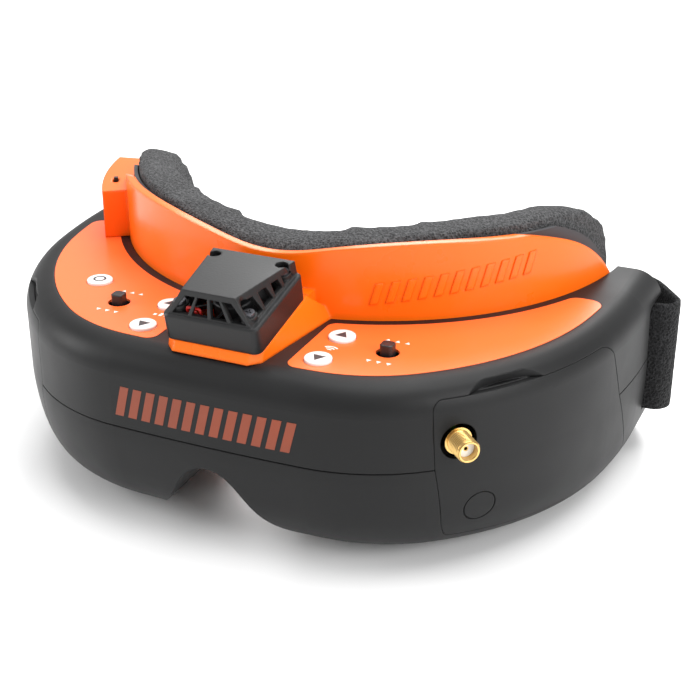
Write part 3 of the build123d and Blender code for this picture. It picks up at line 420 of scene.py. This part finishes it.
def run_tree(name, tree, **values):
    """Evaluates a geometry node tree and returns it as a plain mesh object."""
    piece = bpy.data.objects.new(name, bpy.data.meshes.new(name))
    bpy.context.scene.collection.objects.link(piece)
    modifier = piece.modifiers.new("nodes", "NODES")
    modifier.node_group = tree
    for item in tree.interface.items_tree:
        if item.item_type == "SOCKET" and item.in_out == "INPUT" and item.name in values:
            modifier[item.identifier] = values[item.name]
    bake_modifiers(piece)
    return piece


def bend_sheet(piece, place, thickness):
    """Lays a flat sheet out by place(x, y), which gives a point and its normal, as a closed plate."""
    build = bmesh.new()
    build.from_mesh(piece.data)
    outer = []
    for vert in build.verts:
        point, normal = place(vert.co.x, vert.co.y)
        outer.append(point + normal * thickness)
        vert.co = point
    build.verts.index_update()
    faces = [[v.index for v in f.verts] for f in build.faces]
    rim = [[v.index for v in e.verts] for e in build.edges if e.is_boundary]
    inner = [v.co.copy() for v in build.verts]
    build.free()
    count = len(inner)
    shell = [list(reversed(f)) for f in faces] + [[i + count for i in f] for f in faces]
    shell += [[a, b, b + count, a + count] for a, b in rim]
    material = next(m for m in piece.data.materials if m)
    name = piece.name
    bpy.data.objects.remove(piece)
    return new_piece(name, inner + outer, shell, material)


# ---------------------------------------------------------------- hard parts
class GOGGLES_OT_shells(Operator):
    """Finishes the two shells and the side doors in soft-touch charcoal"""
    bl_idname = "goggles.shells"
    bl_label = "Shells and doors"

    def execute(self, context):
        colour = context.scene.goggle_colours.body
        soft = moulded("soft_touch_charcoal", colour, 0.46, grain=2600.0, depth=0.000012, radius=0.0005,
                       edge=1.5, shine=0.22)
        finish_cad(["upper_shell", "lower_shell", "module_door_left", "module_door_right"], soft)
        return {"FINISHED"}


class GOGGLES_OT_faceplate(Operator):
    """Finishes the glossy faceplate and adds the raised bars on its right half"""
    bl_idname = "goggles.faceplate"
    bl_label = "Faceplate"

    def execute(self, context):
        colour = context.scene.goggle_colours.plate
        glossy = moulded("faceplate_gloss", colour, 0.30, grain=900.0, depth=0.000006, radius=0.0012,
                         vary=0.03, edge=1.15, coat=0.2, coat_rough=0.15, shine=0.3)
        finish_cad(["faceplate"], glossy)
        bars = run_tree("faceplate_bars", bar_row_tree(glossy), Count=11, Pitch=0.0044, Width=0.0024,
                        Height=0.0062, Slant=0.3)
        radius, first_angle, first_height, climb = 0.08065, math.radians(22.0), 0.0650, 0.115
        sink, proud = 0.00005, 0.0004

        def place(x, y):
            angle = first_angle + x / radius
            normal = Vector((math.sin(angle), -math.cos(angle), 0))
            height = first_height + climb * x + y
            return Vector((0, PLATE_AXIS_Y, height)) + normal * (radius - sink), normal

        bars = bend_sheet(bars, place, proud)
        stand(bars, "housing")
        return {"FINISHED"}


class GOGGLES_OT_panels(Operator):
    """Finishes the control panel films and prints small plain marks on them"""
    bl_idname = "goggles.panels"
    bl_label = "Control panels"

    def execute(self, context):
        film = moulded("control_film", context.scene.goggle_colours.panel, 0.36, grain=1800.0, depth=0.000005,
                       radius=0.0002, vary=0.03, edge=1.1, coat=0.15, coat_rough=0.25)
        finish_cad(["control_panel_left", "control_panel_right"], film)
        ink = moulded("white_print", (0.85, 0.82, 0.78), 0.45, grain=3000.0, radius=0.00005, vary=0.05,
                      edge=1.0)
        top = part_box("control_panel_left")[1].z
        left, right = [], []
        # growing bars between the left keys, and widening arcs between the right ones
        bar_width, bars_x, bars_foot = 0.0009, -0.0272, -0.0410
        for step in range(3):
            height = 0.0010 + 0.0008 * step
            left.append(box_outline(bars_x + 0.0017 * step, bars_foot + height / 2, bar_width, height))
        for radius in (0.0010, 0.0019, 0.0028):
            right.append(arc_outline(0.0262, -0.0425, radius, 0.00045))
        # three small arrows before and behind each joystick
        stick_x, arrow_gap, arrow_size = 0.0408, 0.0028, 0.0008
        for marks, side in ((left, -1), (right, 1)):
            for y, heading in ((-0.0436, -90), (-0.0302, 90)):
                for step in (-1, 0, 1):
                    x = side * stick_x + step * arrow_gap
                    marks.append(arrow_outline(x, y, arrow_size, heading))
        for name, marks in (("panel_marks_left", left), ("panel_marks_right", right)):
            piece = prisms(name, marks, top - PRINT_SINK, top + PRINT_PROUD, ink)
            stand(piece, "housing")
        return {"FINISHED"}


def box_outline(x, y, width, height):
    """A rectangle round (x, y)."""
    return [(x - width / 2, y - height / 2), (x + width / 2, y - height / 2),
            (x + width / 2, y + height / 2), (x - width / 2, y + height / 2)]


def arrow_outline(x, y, size, heading):
    """An equal-sided triangle whose point faces heading, in degrees from +X."""
    corners = []
    for turn in (0, 120, 240):
        angle = math.radians(heading + turn)
        corners.append((x + size * math.cos(angle), y + size * math.sin(angle)))
    return corners


def arc_outline(x, y, radius, width, steps=12):
    """A quarter ring round (x, y) that opens towards +Y."""
    inner, outer = [], []
    for step in range(steps + 1):
        angle = math.radians(45 + 90 * step / steps)
        ray = Vector((math.cos(angle), math.sin(angle)))
        outer.append((x + ray.x * radius, y + ray.y * radius))
        inner.append((x + ray.x * (radius - width), y + ray.y * (radius - width)))
    return outer + inner[::-1]


class GOGGLES_OT_keys(Operator):
    """Finishes the keys and joysticks and prints a triangle or a ring on each key"""
    bl_idname = "goggles.keys"
    bl_label = "Keys and joysticks"

    def execute(self, context):
        white = moulded("key_white", context.scene.goggle_colours.key, 0.32, grain=900.0, depth=0.000004,
                        radius=0.0005, vary=0.02, edge=1.1, coat=0.3)
        ink = moulded("key_ink", (0.035, 0.036, 0.04), 0.5, grain=3000.0, radius=0.00005)
        black = moulded("joystick_black", (0.012, 0.012, 0.013), 0.38, grain=1600.0, radius=0.0003)
        keys = {"volume_down": 27, "volume_up": 207, "channel_down": 27, "channel_up": 207}
        for key, heading in keys.items():
            node = "button_" + key
            finish_cad([node], white)
            low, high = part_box(node)
            arrow = arrow_outline((low.x + high.x) / 2, (low.y + high.y) / 2, 0.0021, heading)
            mark = prisms("mark_" + key, [arrow], high.z - PRINT_SINK, high.z + PRINT_PROUD, ink)
            stand(mark, "key_" + key)
        finish_cad(["button_head_tracker"], white)
        low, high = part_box("button_head_tracker")
        middle = ((low.x + high.x) / 2, (low.y + high.y) / 2)
        arc = arc_outline(0, 0, 0.0019, 0.0006)
        ring = []
        for quarter in range(4):
            turn = math.radians(90 * quarter)
            ring.append([(middle[0] + x * math.cos(turn) - y * math.sin(turn),
                          middle[1] + x * math.sin(turn) + y * math.cos(turn)) for x, y in arc])
        mark = prisms("mark_head_tracker", ring, high.z - PRINT_SINK, high.z + PRINT_PROUD, ink)
        stand(mark, "key_head_tracker")
        finish_cad(["joystick_knob_left", "joystick_knob_right"], black)
        return {"FINISHED"}


class GOGGLES_OT_fan(Operator):
    """Finishes the fan, its cover, switch and leads"""
    bl_idname = "goggles.fan"
    bl_label = "Fan"

    def execute(self, context):
        satin = moulded("fan_cover_satin", (0.012, 0.0122, 0.0126), 0.38, grain=1500.0, radius=0.0006,
                        edge=1.6, shine=0.3)
        black = moulded("fan_black", (0.014, 0.014, 0.015), 0.45, radius=0.0003)
        lead = moulded("lead_red", (0.55, 0.02, 0.015), 0.35, radius=0.0001, vary=0.1)
        finish_cad(["fan_cover"], satin)
        finish_cad(["fan_frame", "fan_rotor", "fan_switch", "fan_switch_lever"], black)
        finish_cad(["fan_leads"], lead)
        return {"FINISHED"}


class GOGGLES_OT_insides(Operator):
    """Finishes the board, eyepieces, modules, jacks and fasteners"""
    bl_idname = "goggles.insides"
    bl_label = "Inside parts"

    def execute(self, context):
        black = moulded("inner_black", (0.02, 0.02, 0.021), 0.5, radius=0.0003)
        steel = moulded("ground_steel", (0.55, 0.55, 0.57), 0.28, grain=2000.0, radius=0.0002, metal=1.0)
        dark = moulded("blackened_steel", (0.09, 0.09, 0.10), 0.42, radius=0.0002, metal=0.8)
        board = moulded("board_green", (0.02, 0.14, 0.05), 0.3, radius=0.0001, vary=0.25, coat=0.4)
        tape = fibrous("hook_tape", (0.006, 0.006, 0.007), (0.05, 0.05, 0.054), 1500.0, 0.0004, 0.1)
        paired = ("eyepiece_barrel", "display", "joystick_base", "joystick_plunger", "joystick_ring")
        finish_cad([f"{part}_{side}" for part in paired for side in ("left", "right")], black)
        finish_cad(["rail_brackets", "head_tracker_module", "receiver_module", "power_jack", "av_jack",
                    "earphone_jack", "video_port", "key_switches"], black)
        finish_cad(["eyepiece_rails", "strap_pins"], steel)
        finish_cad(["shell_screws", "faceplate_screws", "fan_screws"], dark)
        finish_cad(["main_board"], board)
        finish_cad(["foam_fastener"], tape)
        finish_cad(["lens_left", "lens_right"], lens_glass())
        return {"FINISHED"}


class GOGGLES_OT_antenna(Operator):
    """Builds the gold antenna socket with its real thread"""
    bl_idname = "goggles.antenna"
    bl_label = "Antenna socket"

    def execute(self, context):
        gold = moulded("socket_gold", (0.72, 0.47, 0.17), 0.22, grain=2500.0, depth=0.000004, radius=0.00008,
                       vary=0.06, edge=1.1, metal=1.0)
        # painted shade: a dark gold for the thread's roots, so the grooves read darker than the crests
        painted_root_shade = moulded("thread_root_painted_shade", (0.16, 0.085, 0.02), 0.35, radius=0.00005, vary=0.1, edge=1.0,
                       metal=1.0)
        white = moulded("socket_white", (0.80, 0.80, 0.76), 0.4, radius=0.0002, vary=0.02)
        finish_cad(["socket_insulator"], white)
        finish_cad(["socket_contact"], gold)
        foot = Vector((0.0643, -0.0466, 0.0409))
        out = Vector((1, -1, 0)).normalized()
        side = Vector((1, 1, 0)).normalized()
        pitch = context.scene.goggle_sizes.thread_pitch
        radius, bore, proud, depth = 0.003175, 0.00232, 0.0063, 0.00036
        collar, hex_corner, lead_in = 0.003775, 0.0046, 0.0004
        back, nut_end, bore_end = -0.0080, -0.0060, proud - 0.0095
        lengthwise, around = 220, 64
        verts, faces = [], []

        def ring(radius_at, t):
            start = len(verts)
            for step in range(around):
                angle = 2 * math.pi * step / around
                r = radius_at(angle) if callable(radius_at) else radius_at
                rise = Vector((0, 0, r * math.sin(angle)))
                verts.append(foot + out * t + side * (r * math.cos(angle)) + rise)
            return start

        def thread_at(t):
            fade = min(1.0, max(0.0, (proud - lead_in - t) / 0.0006), max(0.0, (t - 0.0001) / 0.0004))

            def radius_at(angle):
                phase = (t / pitch - angle / (2 * math.pi)) % 1.0
                cut = depth * (1 - abs(2 * phase - 1) * 1.15) * fade
                return radius - max(0.0, cut) - max(0.0, t - proud + lead_in) * 0.8
            return radius_at

        def hexagon(angle):
            return hex_corner * math.cos(math.pi / 6) / math.cos((angle % (math.pi / 3)) - math.pi / 6)

        rows = [ring(bore, back), ring(hexagon, back), ring(hexagon, nut_end), ring(collar, nut_end + 0.0001),
                ring(collar, -0.0001)]
        for step in range(lengthwise + 1):
            t = proud * step / lengthwise
            rows.append(ring(thread_at(t), t))
        rows += [ring(bore + 0.0001, proud), ring(bore, proud - 0.0001), ring(bore, bore_end)]
        rows.append(rows[0])
        for low, high in zip(rows, rows[1:]):
            for step in range(around):
                other = (step + 1) % around
                faces.append([low + step, low + other, high + other, high + step])
        socket = new_piece("antenna_socket_threaded", verts, faces, gold)
        socket.data.materials.append(painted_root_shade)
        # painted shade: faces deep in the thread's roots take the dark gold
        for face in socket.data.polygons:
            along = (face.center - foot).dot(out)
            away = (face.center - foot - out * along).length
            if 0 < along < proud and bore + depth < away < radius - 0.55 * depth:
                face.material_index = 1
        socket.data.shade_smooth()
        socket.data.set_sharp_from_angle(angle=math.radians(35))
        stand(socket, "housing")
        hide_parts("antenna_socket")
        return {"FINISHED"}


class GOGGLES_OT_print(Operator):
    """Prints a row of plain slanted bars on the front of the upper shell"""
    bl_idname = "goggles.front_print"
    bl_label = "Front print"

    def execute(self, context):
        count = context.scene.goggle_sizes.print_bars
        pitch, middle_height, in_front = 0.0041, 0.0415, -0.2
        gap, thickness = 0.00001, 0.00005
        colour = context.scene.goggle_colours.print
        ink = moulded("worn_orange_print", colour, 0.5, grain=700.0, radius=0.00005, vary=0.35)
        bars = run_tree("front_print", bar_row_tree(ink), Count=count, Pitch=pitch, Width=0.0026,
                        Height=0.0088, Slant=0.25)
        shell = NODES["upper_shell"].data
        surface = BVHTree.FromPolygons([v.co for v in shell.vertices],
                                       [tuple(face.vertices) for face in shell.polygons])
        half_row = pitch * (count - 1) / 2

        def place(x, y):
            start = Vector((x - half_row, in_front, middle_height + y))
            point, normal, _, _ = surface.ray_cast(start, Vector((0, 1, 0)))
            return point + normal * gap, normal

        bars = bend_sheet(bars, place, thickness)
        stand(bars, "housing")
        return {"FINISHED"}


# ---------------------------------------------------------------- soft goods
def swell(piece, pressure, cap, frames=20):
    """Inflates a closed mesh by cloth simulation and caps how far each point moves."""
    before = [v.co.copy() for v in piece.data.vertices]
    cloth = piece.modifiers.new("cloth", "CLOTH")
    settings = cloth.settings
    settings.use_pressure = True
    settings.uniform_pressure_force = pressure
    settings.effector_weights.gravity = 0
    settings.quality = 4
    scene = bpy.context.scene
    for frame in range(1, frames + 1):
        scene.frame_set(frame)
    bake_modifiers(piece)
    for vert, start in zip(piece.data.vertices, before):
        move = vert.co - start
        if move.length > cap:
            vert.co = start + move.normalized() * cap
    scene.frame_set(1)


class GOGGLES_OT_foam(Operator):
    """Builds the face foam: remeshed, swollen and kept between the plate and the face"""
    bl_idname = "goggles.face_foam"
    bl_label = "Face foam"

    def execute(self, context):
        sizes = context.scene.goggle_sizes
        material = fibrous("open_cell_foam", (0.008, 0.008, 0.009), (0.20, 0.20, 0.205), 1300.0, 0.0009, 0.05)
        mesh = NODES["face_foam"].data.copy()
        piece = bpy.data.objects.new("face_foam_pad", mesh)
        context.scene.collection.objects.link(piece)
        build = bmesh.new()
        build.from_mesh(mesh)
        bmesh.ops.remove_doubles(build, verts=build.verts, dist=1e-6)
        build.to_mesh(mesh)
        build.free()
        remesh = piece.modifiers.new("remesh", "REMESH")
        remesh.mode = "VOXEL"
        remesh.voxel_size = sizes.foam_voxel
        bake_modifiers(piece)
        swell(piece, 4.0, sizes.foam_swell)
        smooth = piece.modifiers.new("round", "SUBSURF")
        smooth.levels = 1
        smooth.render_levels = 1
        bake_modifiers(piece)
        # an uneven skin, kept between the face side and the plate side of the foam
        inner, outer, shrink = 0.0640, 0.07645, 0.0001
        for vert in piece.data.vertices:
            flat = Vector((vert.co.x, vert.co.y - PLATE_AXIS_Y))
            wave = noise.noise(vert.co * 60.0) * 0.0002 + noise.noise(vert.co * 600.0) * 0.00018
            reach = min(max(flat.length - abs(wave) - shrink, inner), outer)
            flat = flat.normalized() * reach
            vert.co.x, vert.co.y = flat.x, flat.y + PLATE_AXIS_Y
            vert.co.z += wave
        piece.data.materials.clear()
        piece.data.materials.append(material)
        piece.data.shade_smooth()
        stand(piece, "housing")
        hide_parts("face_foam")
        return {"FINISHED"}


# The strap's route seen from above, in mm: a loop round a corner's pin, then the folds behind the foam.
LOOP_SIDE = ((66, 59.6), (80, 59.2), (86.3, 51.5), (86.3, 40.8), (103.5, 41.6), (88.5, 61.9), (70, 63.1))
LOOP_RADII = (4.0, 6.0, 2.7, 4.5, 12.0)
FOLDS = ((-48.5, 63.1), (-48.5, 54), (49, 54), (49, 45), (-50, 45), (-59, 53.5), (-70, 61.6))
FOLD_RADII = (12.0, 4.2, 4.2, 4.2, 4.2, 6.0, 6.0, 6.0)
FOLDS_LOW, LOOP_RISE = 0.5, 14.0        # mm; the folds lie on the floor, and the loops stand higher
RISE_START, RISE_RUN = 58, 26           # mm from the middle, where the strap climbs from one to the other
ARC_STEPS = 12


def rounded_route(points, radii, step):
    """Evenly spaced points along straight runs joined by arcs."""
    fine = [Vector(points[0])]
    for before, corner, after, radius in zip(points, points[1:], points[2:], radii):
        corner = Vector(corner)
        back = (Vector(before) - corner).normalized()
        ahead = (Vector(after) - corner).normalized()
        half = back.angle(ahead) / 2
        centre = corner + (back + ahead).normalized() * (radius / math.sin(half))
        start = corner + back * (radius / math.tan(half)) - centre
        sweep = math.pi - 2 * half
        turn = sweep if back.x * ahead.y - back.y * ahead.x < 0 else -sweep
        for part in range(ARC_STEPS + 1):
            angle = turn * part / ARC_STEPS
            fine.append(centre + Matrix.Rotation(angle, 2) @ start)
    fine.append(Vector(points[-1]))
    spaced, left = [fine[0]], 0.0
    for a, b in zip(fine, fine[1:]):
        run = (b - a).length
        while left + run >= step and run > 1e-9:
            a = a + (b - a).normalized() * (step - left)
            run = (b - a).length
            left = 0.0
            spaced.append(a)
        left += run
    return spaced


class GOGGLES_OT_strap(Operator):
    """Builds the folded head strap as a napped ribbon, with its rows of stitches"""
    bl_idname = "goggles.strap"
    bl_label = "Head strap"

    def execute(self, context):
        sizes = context.scene.goggle_sizes
        material = fibrous("napped_strap", (0.003, 0.003, 0.0032), (0.032, 0.032, 0.034), 1100.0, 0.0006,
                           0.06)
        tail = tuple((-x, y) for x, y in reversed(LOOP_SIDE[1:-1])) + ((-73.5, 59.2),)
        route = rounded_route(LOOP_SIDE + FOLDS + tail, LOOP_RADII + FOLD_RADII + LOOP_RADII[::-1], 1.0)
        half, width = sizes.strap_thickness / MM / 2 - 0.05, sizes.strap_width / MM
        rows = 30
        profile = [(half * math.cos(math.radians(a)), -half * math.sin(math.radians(a)) + half)
                   for a in (150, 90, 30)]
        profile += [(half, half + (width - 2 * half) * i / rows) for i in range(1, rows)]
        profile += [(half * math.cos(math.radians(a)), width - half + half * math.sin(math.radians(a)))
                    for a in (30, 90, 150)]
        profile += [(-half, width - half - (width - 2 * half) * i / rows) for i in range(1, rows)]
        verts, faces = [], []
        for i, spot in enumerate(route):
            ahead = (route[min(i + 1, len(route) - 1)] - route[max(i - 1, 0)]).normalized()
            across = Vector((ahead.y, -ahead.x))
            lift = min(max((abs(spot.x) - RISE_START) / RISE_RUN, 0), 1)
            low = FOLDS_LOW + LOOP_RISE * lift
            for offset, height in profile:
                nap = 1 - 0.10 * (0.5 + noise.noise(Vector((i * 0.45, height * 0.5, offset))))
                flat = spot + across * offset * nap
                verts.append(Vector((flat.x, flat.y, low + height)) * MM)
        size = len(profile)
        for row in range(len(route) - 1):
            for k in range(size):
                j = (k + 1) % size
                faces.append([row * size + k, row * size + j, (row + 1) * size + j, (row + 1) * size + k])
        faces.append(list(range(size)))
        faces.append([(len(route) - 1) * size + k for k in reversed(range(size))])
        strap = new_piece("head_strap_ribbon", verts, faces, material, smooth=True)
        stand(strap, "housing")
        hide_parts("head_strap")
        self.add_stitches([spot for spot in route if spot.y > REAR_RUN_Y], half)
        return {"FINISHED"}

    def add_stitches(self, rear_run, half):
        """Two upright rows of stitches on the rear face of each corner loop."""
        thread = moulded("strap_thread", (0.03, 0.03, 0.032), 0.6, radius=0.00005)
        tree = stitch_row_tree(thread)
        for side, word in ((-1, "left"), (1, "right")):
            for row, across in enumerate((84.5, 81.9)):
                piece = run_tree(f"strap_stitches_{word}_{row}", tree, Count=9, Pitch=0.0033, Length=0.0024,
                                 Radius=0.00028)
                spot = min(rear_run, key=lambda point: abs(point.x - side * across))
                start = Vector((side * across, spot.y + half, 19.5)) * MM
                piece.data.transform(Matrix.Translation(start) @ Matrix.Rotation(math.radians(-90), 4, "Y"))
                stand(piece, "housing")


# ---------------------------------------------------------------- stage
class GOGGLES_OT_stage(Operator):
    """Builds the pale floor, the soft lights and the camera"""
    bl_idname = "goggles.stage"
    bl_label = "Stage"

    def execute(self, context):
        scene = context.scene
        scene.view_settings.view_transform = "Standard"
        floor = bpy.data.materials.new("pale_floor")
        floor.use_nodes = True
        tree = floor.node_tree
        shader = tree.nodes["Principled BSDF"]
        surface = place_group(tree, grain_group(), Scale=200.0, Broad_Scale=3.0)
        tone = two_colours(tree, surface.outputs["Broad"], (0.86, 0.86, 0.86), (0.90, 0.90, 0.90))
        tree.links.new(tone, shader.inputs["Base Color"])
        tree.links.new(spread(tree, surface.outputs["Broad"], 0.40, 0.48), shader.inputs["Roughness"])
        half, drop = 3.0, -0.0002
        corners = [(-half, -half, drop), (half, -half, drop), (half, half, drop), (-half, half, drop)]
        plane = new_piece("floor", corners, [(0, 1, 2, 3)], floor)
        world = bpy.data.worlds.new("studio")
        world.use_nodes = True
        back = world.node_tree.nodes["Background"]
        back.inputs["Color"].default_value = (1, 1, 1, 1)
        back.inputs["Strength"].default_value = 0.72
        scene.world = world
        aim = Vector((0, 0, 0.04))
        lights = (("top_light", (0.1, 0.15, 0.9), 0.9, 10.0), ("left_light", (-0.85, -0.35, 0.4), 0.5, 4.5),
                  ("right_light", (0.85, -0.25, 0.45), 0.5, 5.5), ("back_light", (-0.2, 0.9, 0.6), 0.6, 5.0))
        for name, place, size, power in lights:
            lamp = bpy.data.lights.new(name, "AREA")
            lamp.size = size
            lamp.energy = power
            holder = bpy.data.objects.new(name, lamp)
            holder.location = place
            holder.rotation_euler = (aim - Vector(place)).to_track_quat("-Z", "Y").to_euler()
            scene.collection.objects.link(holder)
        lens = bpy.data.cameras.new("camera")
        lens.lens = 72.0
        lens.sensor_width = 36.0
        camera = bpy.data.objects.new("camera", lens)
        camera.location = Vector((165.05, -341.05, 212.91)) * MM
        target = Vector((24.61, -24.95, 49.40)) * MM
        camera.rotation_euler = (target - camera.location).to_track_quat("-Z", "Y").to_euler()
        scene.collection.objects.link(camera)
        scene.camera = camera
        return {"FINISHED"}


class GOGGLES_PT_builder(Panel):
    """Lists the goggle builder's steps"""
    bl_idname = "GOGGLES_PT_builder"
    bl_label = "Video Goggles"
    bl_space_type = "VIEW_3D"
    bl_region_type = "UI"
    bl_category = "Goggles"

    def draw(self, context):
        for group in (context.scene.goggle_colours, context.scene.goggle_sizes):
            for name in group.__annotations__:
                self.layout.prop(group, name)
        for step in STEPS:
            self.layout.operator(step.bl_idname)


STEPS = (GOGGLES_OT_shells, GOGGLES_OT_faceplate, GOGGLES_OT_panels, GOGGLES_OT_keys, GOGGLES_OT_fan,
         GOGGLES_OT_insides, GOGGLES_OT_antenna, GOGGLES_OT_print, GOGGLES_OT_foam, GOGGLES_OT_strap,
         GOGGLES_OT_stage)
CLASSES = (GoggleColours, GoggleSizes) + STEPS + (GOGGLES_PT_builder,)


def register():
    """Registers the classes and their settings."""
    for item in CLASSES:
        bpy.utils.register_class(item)
    bpy.types.Scene.goggle_colours = PointerProperty(type=GoggleColours)
    bpy.types.Scene.goggle_sizes = PointerProperty(type=GoggleSizes)


def unregister():
    """Removes the classes and their settings."""
    del bpy.types.Scene.goggle_sizes
    del bpy.types.Scene.goggle_colours
    for item in reversed(CLASSES):
        bpy.utils.unregister_class(item)


def main():
    """Builds everything in order."""
    register()
    for step in STEPS:
        package, name = step.bl_idname.split(".")
        getattr(getattr(bpy.ops, package), name)()


if __name__ == "__main__":
    main()
